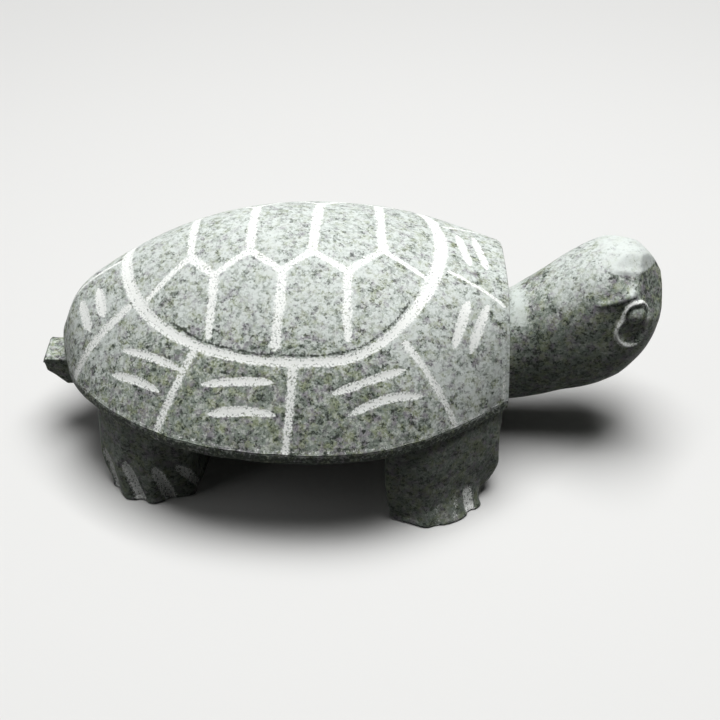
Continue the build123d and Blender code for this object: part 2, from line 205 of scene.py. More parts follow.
# Cuts between the toes of a right leg: directions round the leg in degrees at the sole and at the upper
# end, share of the cut height, and how pale the cut is.
FRONT_TOES = ((-96, -94, 0.55, 0.35), (-74, -70, 0.65, 0.4), (-50, -45, 0.7, 0.9), (-22, -20, 0.6, 0.4))
REAR_TOES = (
    (-150, -171, 1.15, 0.8), (-106, -133, 1.15, 0.95), (-64, -88, 1.2, 0.9), (-18, -62, 1.15, 0.8))
# A leg's middle as shares of its length and reach, the height of its rounded foot, and its grid.
LEG_MIDDLE = (0.48, 0.42)
FOOT_HEIGHT = 0.55 * MM
LEG_ROWS, LEG_COLUMNS = 64, 240
# Legs and belly end this far above the shell's lower edge, inside it.
OVERLAP = 0.2 * MM

# Where the belly widens from hips to bridge and narrows from bridge to chest, in millimetres.
BELLY_STEPS = (-20.5, -17.5, 2.5, 5.5)
BELLY_POWER, TAIL_POWER = 7, 12
BELLY_ROWS, BELLY_COLUMNS = 150, 160
TAIL_ROWS, TAIL_COLUMNS = 64, 200

# Colour inputs of the stone's node group with the panel's colours for them, and its other inputs.
STONE_COLOURS = {
    "Dark grains": "dark", "Ground": "middle", "Light grains": "light", "Moss grains": "moss",
    "Slate grains": "slate", "Carved lines": "carved", "Rubbed crown": "rubbed",
}
STONE_VALUES = ("Grain size", "Contrast", "Carved", "Rubbed", "Pitted")
# Noises of the stone: scale per grain, detail and roughness.
STONE_NOISES = {
    "fine": (2.4, 4.0, 0.7), "clump": (0.36, 3.0, 0.6), "broad": (0.12, 3.0, 0.6),
    "moss": (0.22, 2.0, 0.6), "slate": (0.25, 2.0, 0.6), "ragged": (1.3, 4.0, 0.7),
    "pits": (1.25, 3.0, 0.65), "crumbs": (0.9, 4.0, 0.7),
}
# The noises of the slate grains and the pits are read elsewhere, so that they don't follow the others.
MOVED_NOISES = ("slate", "pits")
MOVED_BY = (31.0, 17.0, 5.0)
# The grains' tone is spread by the contrast about this middle.
MIDDLE_TONE = 1.12
# Finishes of the stone: contrast of the grains, shade that darkens every colour but that of the carved
# lines, and bump strength. The plain stone's shade of 0.66 is painted shade, for legs and belly lie in the
# shade under the shell.
STONE_FINISHES = {
    "polished_stone": {"contrast": 1.0, "shade": 1.0, "bump": 0.35},
    "smooth_stone": {"contrast": 0.9, "shade": 1.0, "bump": 0.3},
    "plain_stone": {"contrast": 0.8, "shade": 0.66, "bump": 0.5},
}

BACKGROUND = (0.83, 0.83, 0.82, 1.0)
# Half the floor's side over the turtle's reach, the share of its colour that it throws back on the turtle,
# and the distances from the middle, in metres, over which it passes into the background.
FLOOR_SPAN = 40
FLOOR_GLOW = 0.08
FLOOR_FADE = (0.16, 0.5)
TAIL_LAMP_PLACE, TAIL_LAMP_SIZE = (-0.34, -0.12, 0.2), 0.25
LAMP_TARGET = Vector((0, 0, 20)) * MM
CAMERA_TARGET = Vector((2.5, 0, 12.8)) * MM


def measure(name, description, millimetres):
    """Length property, with its default given in millimetres."""
    return bpy.props.FloatProperty(
        name=name, description=description, default=millimetres * MM, unit="LENGTH")


def tint(name, description, colour):
    """Colour property."""
    return bpy.props.FloatVectorProperty(
        name=name, description=description, default=colour, subtype="COLOR")


class TurtleShellSizes(bpy.types.PropertyGroup):
    length: measure("Length", "Length of the shell", 75.9)
    half_width: measure("Half-width", "Half the width of the shell", 32.0)
    rim_height: measure("Rim height", "Height of the rim's upper edge", 17.7)
    rim_thickness: measure("Rim thickness", "Height of the rim's upright band", 2.0)
    rise: measure("Rise", "Rise of the dome above the rim", 23.9)
    edge: measure("Edge rounding", "Rounding of the cut front's edge", 0.6)
    ring_width: measure("Ring width", "Width of the carved ring", 2.4)
    scute_width: measure("Scute line width", "Width of the lines on the dome", 2.0)
    margin_width: measure("Margin line width", "Width of the lines from ring to rim", 1.7)
    dash_width: measure("Dash width", "Width of the short dashes", 1.6)
    depth: measure("Line depth", "Depth of the carved lines", 0.06)
    wobble: measure("Hand wobble", "How far the carved surface strays", 0.12)


class TurtleHeadSizes(bpy.types.PropertyGroup):
    rise: measure("Neck rise", "Rise of the neck's middle line", 10.9)
    root_drop: measure("Root drop", "Depth of the neck's root under the rim", 1.8)
    half_width: measure("Half-width", "Half the width of the head", 10.3)
    half_height: measure("Half-height", "Half the height of the head", 12.8)
    eye_radius: measure("Eye ring radius", "Radius of the eye's raised lids", 2.2)
    eyeball_radius: measure("Eyeball radius", "Radius of the eyeball", 1.5)


class TurtleLegSizes(bpy.types.PropertyGroup):
    shin_height: measure("Shin height", "Height of the middle outline", 7.0)
    front_length: measure("Front leg length", "Length of a front leg", 20.0)
    front_reach: measure("Front leg reach", "Reach of a front leg from the body", 17.2)
    rear_length: measure("Rear leg length", "Length of a rear leg", 18.2)
    rear_reach: measure("Rear leg reach", "Reach of a rear leg from the body", 13.4)
    toe_width: measure("Toe cut width", "Width of a cut between two toes", 2.3)
    toe_depth: measure("Toe cut depth", "Depth of a cut between two toes", 0.5)
    toe_height: measure("Toe cut height", "Height of a cut between two toes", 8.0)


class TurtleBodySizes(bpy.types.PropertyGroup):
    chest_half_width: measure("Chest half-width", "Half the width between the front legs", 13.0)
    bridge_half_width: measure("Bridge half-width", "Half the width between the pairs of legs", 20.0)
    hip_half_width: measure("Hip half-width", "Half the width between the rear legs", 11.0)
    rounding: measure("Belly rounding", "Rounding of the belly's lower edge", 1.5)
    tail_half_width: measure("Tail half-width", "Half the width of the tail's flat top", 3.9)
    tail_tip_drop: measure("Tail tip drop", "Depth of the tail's tip under its flat top", 1.3)


class TurtleStoneLook(bpy.types.PropertyGroup):
    # Also the colour of the painted shade specks
    dark: tint("Dark grains", "Colour of the dark grains", (0.035, 0.043, 0.034))
    middle: tint("Ground", "Colour of the ground between the grains", (0.25, 0.29, 0.25))
    light: tint("Light grains", "Colour of the light grains", (0.62, 0.65, 0.6))
    moss: tint("Moss grains", "Colour of the faint yellow-green grains", (0.31, 0.35, 0.2))
    slate: tint("Slate grains", "Colour of the faint purple-grey grains", (0.275, 0.25, 0.29))
    carved: tint("Carved lines", "Colour of freshly cut stone", (0.94, 0.96, 0.93))
    # Pale colour of the painted sheen and painted light, and of the head's pale collar
    rubbed: tint("Rubbed crown", "Colour of stone rubbed pale by handling", (0.67, 0.715, 0.69))
    grain: measure("Grain size", "Size of the grains", 0.4)


class TurtleStage(bpy.types.PropertyGroup):
    floor: tint("Floor colour", "Colour of the pale floor", (0.7, 0.7, 0.69))
    lamp_height: measure("Lamp height", "Height of the overhead lamp", 600)
    lamp_size: measure("Lamp size", "Side of the overhead lamp", 400)
    lamp_power: bpy.props.FloatProperty(
        name="Lamp power", description="Power of the overhead lamp in watts", default=5.0)
    fill_power: bpy.props.FloatProperty(
        name="Fill power", description="Power of the weak lamp behind the tail in watts", default=0.14)
    sky: bpy.props.FloatProperty(
        name="Sky strength", description="Strength of the even light from all around", default=0.035)
    focal_length: bpy.props.FloatProperty(
        name="Focal length", description="Focal length of the camera in millimetres", default=65.0)
    distance: measure("Camera distance", "Distance from camera to turtle", 232.14)
    elevation: bpy.props.FloatProperty(
        name="Camera elevation", description="Angle of the camera above the floor",
        default=math.radians(36.0), subtype="ANGLE")


def spline(knots, values, at):
    """Natural cubic spline: passes through every value, with slope and curvature the same on both sides of a
    knot. The curvatures at the knots solve one set of equations, and each span is the cubic they give."""
    knots, values = np.asarray(knots, float), np.asarray(values, float)
    gaps = np.diff(knots)
    inner = np.arange(1, len(knots) - 1)
    system = np.eye(len(knots))
    system[inner, inner - 1] = gaps[:-1]
    system[inner, inner] = 2 * (gaps[:-1] + gaps[1:])
    system[inner, inner + 1] = gaps[1:]
    shape = (-1,) + (1,) * (values.ndim - 1)
    slopes = np.diff(values, axis=0) / gaps.reshape(shape)
    right = np.zeros_like(values)
    right[inner] = 6 * np.diff(slopes, axis=0)
    bends = np.linalg.solve(system, right)
    span = np.clip(np.searchsorted(knots, at) - 1, 0, len(gaps) - 1)
    gap = gaps[span].reshape(shape)
    first = ((knots[span + 1] - at) / gaps[span]).reshape(shape)
    second = 1 - first
    bend = (first**3 - first) * bends[span] + (second**3 - second) * bends[span + 1]
    return first * values[span] + second * values[span + 1] + bend * gap**2 / 6


def distance_along(values):
    """Distance along the broken line through the rows of a table, from 0 at its first row."""
    return np.concatenate(([0.0], np.cumsum(np.linalg.norm(np.diff(values, axis=0), axis=1))))


def ripple(points, wavelength, seed):
    """Smooth waves between about -1 and 1: the mean of ten sine waves that cross the points in seeded
    directions, each about one wavelength long."""
    dice = np.random.default_rng(seed)
    directions = dice.normal(size=(10, 3))
    directions *= dice.uniform(0.7, 1.4, (10, 1)) / np.linalg.norm(directions, axis=1, keepdims=True)
    phases = dice.uniform(0, 2 * math.pi, 10)
    return np.sin(points @ directions.T * (2 * math.pi / wavelength) + phases).mean(axis=-1) * 2


def hand_cut(points, depth, long_wave, short_wave, seed):
    """Move along the normal, never above 0, that an uneven hand cut leaves: long ripples and half as strong
    short ones, lowered by 1.2 so that they mostly take stone away, times the depth."""
    waves = ripple(points, long_wave * MM, seed) + 0.5 * ripple(points, short_wave * MM, seed + 1)
    return np.minimum(depth * (waves - 1.2), 0)


def ramp(value, start, end):
    """Smooth step: 0 before start, 1 after end, and the cubic 3t^2 - 2t^3 between them."""
    share = np.clip((value - start) / (end - start), 0, 1)
    return share * share * (3 - 2 * share)


def bell(value, middle, spread):
    """Bell curve: 1 at the middle, and e to the power -1 at one spread from it."""
    return np.exp(-((value - middle) / spread)**2)


def superellipse(turn, power):
    """Level and upright place in each direction of turn on the oval where the sum of both to that power is
    1: a circle for 2, and boxier for more."""
    size = (np.abs(np.cos(turn))**power + np.abs(np.sin(turn))**power)**(-1 / power)
    return size * np.cos(turn), size * np.sin(turn)


def full_turn(count):
    """Directions of a full turn in even steps."""
    return np.linspace(0, 2 * math.pi, count, endpoint=False)


def drawn_in(row, heart, shares):
    """Smaller copies of a loop about its heart, at shares of its size, to close an end."""
    return heart + np.reshape(shares, (-1, 1, 1)) * (row - heart)


def outward(grid):
    """Unit normals of a grid that closes round its second direction: the cross product of its two slopes,
    turned to point away from the middle of its row."""
    along = np.gradient(grid, axis=0)
    wrapped = np.concatenate((grid[:, -1:], grid, grid[:, :1]), axis=1)
    around = (wrapped[:, 2:] - wrapped[:, :-2]) / 2
    normal = np.cross(along, around)
    normal /= np.linalg.norm(normal, axis=2, keepdims=True) + 1e-12
    away = grid - grid.mean(axis=1, keepdims=True)
    if (normal * away).sum() < 0:
        normal = -normal
    return normal


def pushed(grid, amount):
    """Grid with every point moved along its normal by an amount."""
    return grid + outward(grid) * amount[..., None]


def across(x, y, z):
    """Grid of loops across the object, from one x for each row and tables of y and z."""
    return np.stack((np.broadcast_to(x[:, None], y.shape), y, z), axis=-1)


def add_object(name, data):
    """New object of the scene with this data."""
    holder = bpy.data.objects.new(name, data)
    bpy.context.scene.collection.objects.link(holder)
    return holder


def make_piece(name, grid, masks, nodes, material):
    """Closed mesh from a grid of rows: each row is a closed loop, neighbouring rows are joined by quads, and
    the first and the last row are closed by a fan to their mean point. The masks become point attributes,
    and a mask that a piece lacks counts as 0 in its material."""
    rows, columns = grid.shape[:2]
    points = np.concatenate((grid.reshape(-1, 3), grid[:1].mean(axis=1), grid[-1:].mean(axis=1)))
    index = np.arange(rows * columns).reshape(rows, columns)
    turned = np.roll(index, -1, axis=1)
    quads = np.stack((index[:-1], turned[:-1], turned[1:], index[1:]), axis=-1).reshape(-1, 4)
    first, last = rows * columns, rows * columns + 1
    fans = np.concatenate((
        np.stack((turned[0], index[0], np.full(columns, first)), axis=-1),
        np.stack((index[-1], turned[-1], np.full(columns, last)), axis=-1),
    ))
    corners = points[np.concatenate((quads[:, :3], quads[:, [0, 2, 3]], fans))]
    if (np.cross(corners[:, 0], corners[:, 1]) * corners[:, 2]).sum() < 0:
        quads, fans = quads[:, ::-1], fans[:, ::-1]
    mesh = bpy.data.meshes.new(name)
    mesh.from_pydata(points.tolist(), [], quads.tolist() + fans.tolist())
    for label, mask in masks.items():
        ends = mask[[0, -1]].mean(axis=1)
        attribute = mesh.attributes.new(label, "FLOAT", "POINT")
        attribute.data.foreach_set("value", np.append(mask, ends).astype(np.float32))
    mesh.polygons.foreach_set("use_smooth", np.ones(len(mesh.polygons), bool))
    mesh.materials.append(material)
    mesh.update()
    piece = add_object(name, mesh)
    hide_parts(*nodes)
    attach(piece, "root")


def shell_table(sizes):
    """Columns x, half-width, rise and power at even distances along the splines through the stations."""
    stations = SHELL_STATIONS * np.array([sizes.length, sizes.half_width, sizes.rise, 1.0])
    reach = distance_along(stations[:, :3])
    table = spline(reach, stations, np.linspace(0, reach[-1], SHELL_ROWS))
    table[:, 0] += SHELL_LOW.x
    return table


def drop(share, power):
    """Share of the rise lost at a share of the half-width: the power of the hypotenuse of that share and the
    ridge's rounding, brought to 0 on the ridge and 1 at the rim."""
    start = RIDGE_ROUNDING**power
    whole = math.hypot(1, RIDGE_ROUNDING)**power - start
    return (np.hypot(share, RIDGE_ROUNDING)**power - start) / whole


def on_shell(sizes, table, x, y):
    """Places on the shell's surface over places on its plan."""
    width, rise, power = (np.interp(x, table[:, 0], column) for column in table[:, 1:].T)
    height = rise * (1 - drop(np.minimum(np.abs(y) / width, 1), power))
    return np.column_stack((x, y, sizes.rim_height + height))


def carved_line(start, end, bow, steps=24):
    """Flat line from start to end that bends sideways as half a sine wave, as high as the bow times its
    length."""
    start, end = np.array(start), np.array(end)
    share = np.linspace(0, 1, steps)[:, None]
    side = np.array([start[1] - end[1], end[0] - start[0]])
    return start + share * (end - start) + bow * np.sin(math.pi * share) * side


def line_field(points, line, half_width, reach):
    """For the points in a box round a line, with a margin of the reach in half-widths: their numbers, their
    distance from the line in half-widths, and how far along it they are, from 0 to 1. The distance is the
    least one to any of the line's straight spans."""
    margin = reach * half_width
    near = ((points > line.min(0) - margin) & (points < line.max(0) + margin)).all(axis=1)
    near = np.flatnonzero(near)
    spans = np.diff(line, axis=0)
    offsets = points[near, None] - line[:-1]
    along = np.clip((offsets * spans).sum(-1) / (spans * spans).sum(-1), 0, 1)
    gaps = np.linalg.norm(offsets - along[..., None] * spans, axis=-1)
    nearest = gaps.argmin(axis=1)
    pick = np.arange(len(near))
    return near, gaps[pick, nearest] / half_width, (nearest + along[pick, nearest]) / len(spans)


def shell_lines(sizes):
    """Every carved line of the shell but the ring, as (kind, start, end, bow, widths) with its ends in
    metres. A line is given as on the right side, and its mirror image bows the other way."""
    lines = [(line, side) for line in SIDE_LINES for side in (-1, 1)] + [(line, 1) for line in MIDDLE_LINES]
    for start, end, bow, right, left in SCUTE_LINES:
        lines.append((("scute", RIGHT_CORNERS[start], RIGHT_CORNERS[end], bow, right), -1))
        lines.append((("scute", LEFT_CORNERS[start], LEFT_CORNERS[end], bow, left), 1))
    for corner, width in RIDGE_LINES:
        along, out = RIGHT_CORNERS[corner]
        lines.append((("scute", (along, -out), LEFT_CORNERS[corner], 0.0, (width, width)), 1))
    scale = np.array([sizes.length, sizes.half_width])
    for (kind, start, end, bow, widths), side in lines:
        start, end = ((SHELL_LOW.x, 0) + scale * place * (1, side) for place in (start, end))
        yield kind, start, end, -side * bow, widths


def ring_field(sizes, table, points):
    """For the points near the ring: their numbers, and their distance from its middle line in half-widths,
    below 0 inside it. On plan the line is half an ellipse to the rear, bulging a little, and a shorter half
    to the front. The ring is narrower at the sides."""
    middle_x = SHELL_LOW.x + RING_CENTRE * sizes.length
    side = RING_SIDE * sizes.half_width
    turn = np.linspace(-math.pi, math.pi, 241)
    cosine = np.cos(turn)
    length = np.where(cosine < 0, RING_REAR, RING_FRONT) * sizes.length
    x = middle_x + length * np.sign(cosine) * np.abs(cosine)**0.94
    line = on_shell(sizes, table, x, side * np.sin(turn))
    near, gap, _ = line_field(points, line, sizes.ring_width / 2, RING_REACH)
    x, y = points[near, 0] - middle_x, points[near, 1]
    length = np.where(x < 0, RING_REAR, RING_FRONT) * sizes.length
    flank = ramp(np.abs(y) / sizes.half_width, 0.3, 0.65)
    return near, gap / (1 - 0.36 * flank) * np.where(np.hypot(x / length, y / side) < 1, -1, 1)


def carve_shell(sizes, table, points):
    """Depth of the carving and the masks of its pale stone and of the painted shade along the ring at each
    point of the shell. A line is a shallow trough with a flat bottom and sloping walls, and its pale mask
    falls evenly from its middle outward. A dash narrows to its ends like a lens. The ring is a deeper trough
    of the same kind, with a bell-shaped band of painted shade along its inner side on the flanks."""
    depth = np.zeros(len(points))
    pale = np.zeros(len(points))
    crease = np.zeros(len(points))
    stray = ripple(points, 3 * sizes.scute_width, 5)
    for kind, start, end, bow, widths in shell_lines(sizes):
        line = on_shell(sizes, table, *carved_line(start, end, bow).T)
        half_width = getattr(sizes, f"{kind}_width") / 2
        near, gap, along = line_field(points, line, half_width, LINE_REACH)
        gap = gap / (widths[0] + along * (widths[1] - widths[0])) / (1 + 0.12 * stray[near])
        if kind == "dash":
            lens = (1 - np.abs(2 * along - 1)**4.5)**0.6
            gap = gap / np.maximum(lens, 0.3)
        depth[near] = np.maximum(depth[near], sizes.depth * np.clip((1 - gap) / 0.45, 0, 1))
        pale[near] = np.maximum(pale[near], LINE_STRENGTH[kind] * np.maximum(FADE_OUT - gap, 0))
    near, gap = ring_field(sizes, table, points)
    gap = gap / (1 + 0.08 * stray[near])
    wall = np.clip((1.05 - np.abs(gap)) / 0.4, 0, 1)
    depth[near] = np.maximum(depth[near], 1.3 * sizes.depth * wall)
    pale[near] = np.maximum(pale[near], RING_STRENGTH * np.maximum(FADE_OUT - np.abs(gap), 0))
    flank = ramp(np.abs(points[near, 1]) / sizes.half_width, 0.35, 0.5)
    # Painted shade in the crease along the ring's inner side on the flanks
    crease[near] = 1.1 * bell(gap, -FADE_OUT, 0.5) * flank
    return depth, pale, crease


def shell_loop(sizes, x, width, rise, power, inset):
    """Closed loop of one upright section: the arch from the right rim over the ridge to the left rim, rows
    down the upright band of the rim, its rounded lower edge and the flat base."""
    share = np.sin(np.linspace(-math.pi / 2, math.pi / 2, ARCH_POINTS))
    arch = np.column_stack((
        (width - inset) * share,
        sizes.rim_height + (rise - inset) * (1 - drop(np.abs(share), power)),
    ))
    base_z = sizes.rim_height - sizes.rim_thickness
    edge = 0.9 * sizes.edge
    turn = np.linspace(0, math.pi / 2, 6)
    band = np.column_stack((
        width - inset - edge * (1 - np.cos(turn)),
        base_z + edge * (1 - np.sin(turn)),
    ))
    wall_z = np.linspace(sizes.rim_height, band[0, 1], 7)[1:-1]
    wall = np.column_stack((np.full(len(wall_z), width - inset), wall_z))
    band = np.concatenate((wall, band))
    base_y = np.linspace(1, -1, BASE_POINTS)[1:-1] * band[-1, 0]
    base = np.column_stack((base_y, np.full(len(base_y), base_z)))
    loop = np.concatenate((arch, band, base, band[::-1] * (-1, 1)))
    return np.column_stack((np.full(len(loop), x), loop))


def shell_grid(sizes):
    """Grid of the closed shell: a rear end that bulges like a parabola, the sections, a rounded edge at the
    cut front and its flat face."""
    table = shell_table(sizes)
    rows = np.array([shell_loop(sizes, *station, 0) for station in table])
    heart = (table[0, 0], 0, sizes.rim_height + 0.25 * table[0, 2])
    shares = np.array([0.25, 0.5, 0.7, 0.85, 0.94, 0.985])
    rear = drawn_in(rows[0], heart, shares)
    rear[..., 0] -= 1.3 * sizes.edge * (1 - shares[:, None]**2)
    front = []
    for turn in np.linspace(0, math.pi / 2, 7)[1:]:
        inset = sizes.edge * (1 - math.cos(turn))
        x = SHELL_HIGH.x - sizes.edge * (1 - math.sin(turn))
        front.append(shell_loop(sizes, x, *table[-1, 1:], inset))
    rows = rows[rows[:, 0, 0] < SHELL_HIGH.x - sizes.edge]
    heart = (SHELL_HIGH.x, 0, sizes.rim_height + 0.35 * table[-1, 2])
    face = drawn_in(front[-1], heart, (0.8, 0.55, 0.3))
    return np.concatenate((rear, rows, front, face)), table


def rim_chips(sizes, points):
    """Depth chipped off the rim: the upper half of ripples, under a bell round the rim's upper edge."""
    return sum(
        share * sizes.edge * bell(points[:, 2], sizes.rim_height, spread * sizes.rim_thickness)
        * np.clip(ripple(points, wavelength * MM, seed), 0, 1)
        for share, spread, wavelength, seed in RIM_CHIPS)


def shell_painted_light(sizes, points):
    """Share of painted light, a pale painted sheen: it grows up the dome and toward the ends, with dark
    mottling there, and just behind the edge of the cut front it forms a pale band, partly worn stone and
    partly painted glint."""
    height = (points[:, 2] - sizes.rim_height) / sizes.rise
    ends = sum(weight * ramp(points[:, 0], start * MM, end * MM) for weight, start, end in PALE_ENDS)
    rubbed = ramp(height, 0.12, 0.82) + ends * (0.85 + 0.15 * ramp(height, 0.05, 0.4))
    rubbed = np.clip(rubbed, 0, 1) + 0.1 * ripple(points, 9 * MM, 4)
    rubbed -= 0.5 * ends * np.clip(ripple(points, 2.4 * MM, 6), 0, 1)
    # Pale band behind the cut front's edge: partly worn stone, partly painted glint
    ahead = (points[:, 0] - SHELL_HIGH.x) / MM
    worn_and_glint = ramp(ahead, -1.2, -0.5) * (1 - ramp(ahead, -0.25, 0))
    return np.clip(rubbed + 0.7 * worn_and_glint, 0, 1)


def rim_flecks(sizes, points):
    """Pale mask of the flecks just above the rim's upper edge, and of the torn edge low on the cut front."""
    height = points[:, 2] - sizes.rim_height
    ahead = (points[:, 0] - SHELL_HIGH.x) / MM
    torn = ramp(ahead, -1.7, -0.7) * (1 - ramp(height / sizes.rise, 0.1, 0.45))
    return np.maximum(0.51 * bell(height / MM, 0.3, 0.5), 0.95 * torn)


class TURTLE_OT_shell(bpy.types.Operator):
    """Carve the domed shell with its ring, scute lines, margin lines and dashes"""

    bl_idname = "turtle.shell"
    bl_label = "Shell"

    def execute(self, context):
        sizes = context.scene.turtle_shell
        grid, table = shell_grid(sizes)
        flat = grid.reshape(-1, 3)
        depth, pale, crease = carve_shell(sizes, table, flat)
        upper = ramp(flat[:, 2], sizes.rim_height - sizes.rim_thickness / 2, sizes.rim_height)
        away = 1 - ramp(flat[:, 0], SHELL_HIGH.x - 2 * sizes.edge, SHELL_HIGH.x)
        stray = 0.6 * ripple(flat, 20 * MM, 1) + 0.25 * ripple(flat, 6 * MM, 2) - 0.9
        moved = upper * away * (np.minimum(sizes.wobble * stray, 0) - depth) - away * rim_chips(sizes, flat)
        flat = flat + outward(grid).reshape(-1, 3) * moved[:, None]
        # Painted shade along the rim's upper edge and on the band below it
        under = away * (1 - ramp((flat[:, 2] - sizes.rim_height) / MM, -0.6, 0.1))
        masks = {
            "carved": np.maximum(pale, rim_flecks(sizes, flat)) * upper * away,
            # Painted sheen and painted light on the dome and toward the shell's ends
            "rubbed": upper * shell_painted_light(sizes, flat),
            "pitted": np.maximum(crease, under),
        }
        masks = {name: mask.reshape(grid.shape[:2]) for name, mask in masks.items()}
        flat[:, 1] = np.clip(flat[:, 1], SHELL_LOW.y, SHELL_HIGH.y)
        material = stone_material("polished_stone")
        make_piece("shell_stone", flat.reshape(grid.shape), masks, ["carapace"], material)
        return {"FINISHED"}


def head_grid(sizes, rim_height):
    """Upright ovals along the neck, as their middles and the spokes from there: the middle line, half-width
    and half-height are splines through the stations, and the oval is a superellipse whose power grows toward
    the head. The nose is closed as half an ellipse."""
    reach = NOSE_X - SHELL_HIGH.x
    stations = NECK_STATIONS * np.array([reach, sizes.rise, sizes.half_width, sizes.half_height])
    knots = distance_along(stations)
    table = spline(knots, stations, np.linspace(0, knots[-1], HEAD_ROWS))
    caps = len(NOSE_LOOPS)
    centre = np.concatenate((table[:1], table, np.repeat(table[-1:], caps, axis=0)))
    centre[0, 0] -= MM
    centre[-caps:, 0] += (reach - table[-1, 0]) * np.sqrt(1 - NOSE_LOOPS**2)
    centre[-caps:, 2:] *= NOSE_LOOPS[:, None]
    power = np.interp(centre[:, 0] / reach, *HEAD_POWERS)[:, None]
    level, upright = superellipse(full_turn(HEAD_COLUMNS), power)
    middle = np.zeros((len(centre), 1, 3))
    middle[:, 0, 0] = SHELL_HIGH.x + centre[:, 0]
    middle[:, 0, 2] = rim_height - sizes.root_drop + centre[:, 1]
    spokes = np.stack((np.zeros_like(level), centre[:, 2:3] * level, centre[:, 3:4] * upright), axis=-1)
    return middle, spokes


def trim(middle, spokes, place, facing):
    """Planes a facet on a grid of spokes: each spoke is shortened to where it meets the plane through a
    place, by the power mean of both lengths, so that the facet's edge is slightly round."""
    facing = facing / np.linalg.norm(facing)
    length = np.linalg.norm(spokes, axis=-1)
    toward = (spokes @ facing) / length
    room = ((place - middle) @ facing) / np.maximum(toward, 1e-3)
    room = np.where(toward > 1e-3, np.maximum(room, 0.05 * length), 1e3 * length)
    kept = (length**-FACET_SHARPNESS + room**-FACET_SHARPNESS)**(-1 / FACET_SHARPNESS)
    return spokes * (kept / length)[..., None]


def stroke(ahead, above, height, slope, thickness, start, end):
    """Bell-shaped stroke along a sloping line over the eye, faded in and out along it."""
    return bell(above - slope * ahead, height, thickness) * ramp(ahead, *start) * (1 - ramp(ahead, *end))


def eye_fields(sizes, grid, normal, mirror):
    """Lift in metres and masks of pale stone, painted glint and painted shade for one eye. Places on the
    face are measured in millimetres ahead of and above the point next to the eye's seat. Two ovals joined by
    a smooth least value give the outline, and the lids are a bell-shaped ridge along it, palest at the top
    and behind. Inside it the lower part is hollowed round the ball, which is half a sphere, with painted
    shade below the ball and a painted glint on it. Over the eye runs the brow, a bell-shaped ridge with a
    crease of painted shade under it."""
    gap = np.linalg.norm(grid - mirror * EYE_SEAT, axis=-1)
    nearest = np.unravel_index(gap.argmin(), gap.shape)
    out = normal[nearest]
    forward = np.cross(np.cross(out, EYE_FORWARD), out)
    forward /= np.linalg.norm(forward)
    up = np.cross(out, forward)
    up *= np.sign(up[2])
    offset = (grid - grid[nearest]) / MM
    ahead, above = offset @ forward, offset @ up
    ovals = [np.hypot((ahead - x) / wide, (above - y) / tall) for x, y, wide, tall in LID_OVALS]
    ring = -np.log(sum(np.exp(-LID_BLEND * oval * MM / sizes.eye_radius) for oval in ovals)) / LID_BLEND
    ball = np.hypot(ahead - 0.85, (above - 1.0) / 1.05) * MM / sizes.eyeball_radius
    inside = 1 - ramp(ring, 0.72, 0.92)
    lift = 0.5 * stroke(ahead, above, *BROW) + 0.65 * bell(ring, 1, 0.14)
    lift += np.sqrt(np.clip(1 - ball**2, 0, 1)) - 0.3 * inside * (1 - ramp(above, -0.6, 0.6))
    angle = np.arctan2(above + 0.3, ahead)
    arc = np.maximum(ramp(np.cos(angle - 1.9), 0.1, 0.7), ramp(np.cos(angle - 3.8), 0.5, 0.9))
    pale = (0.5 + 0.6 * arc) * bell(ring, 1.02, 0.22)
    # Painted glint on the eyeball
    glint = 0.35 * (1 - ramp(ball, 0.8, 1.0))
    hollow = inside * ramp(ball, 0.85, 1.0) * (1 - ramp(above, -0.2, 1.2))
    hollow = hollow * (1 - 0.35 * ramp(-above, 1.8, 3.2))
    # Painted shade below the ball and in the crease under the brow
    painted_eye_shade = np.maximum(0.75 * hollow, stroke(ahead, above, *BROW_CREASE))
    near = gap < 4 * sizes.eye_radius
    return near * np.array((lift * MM, pale, glint, painted_eye_shade))


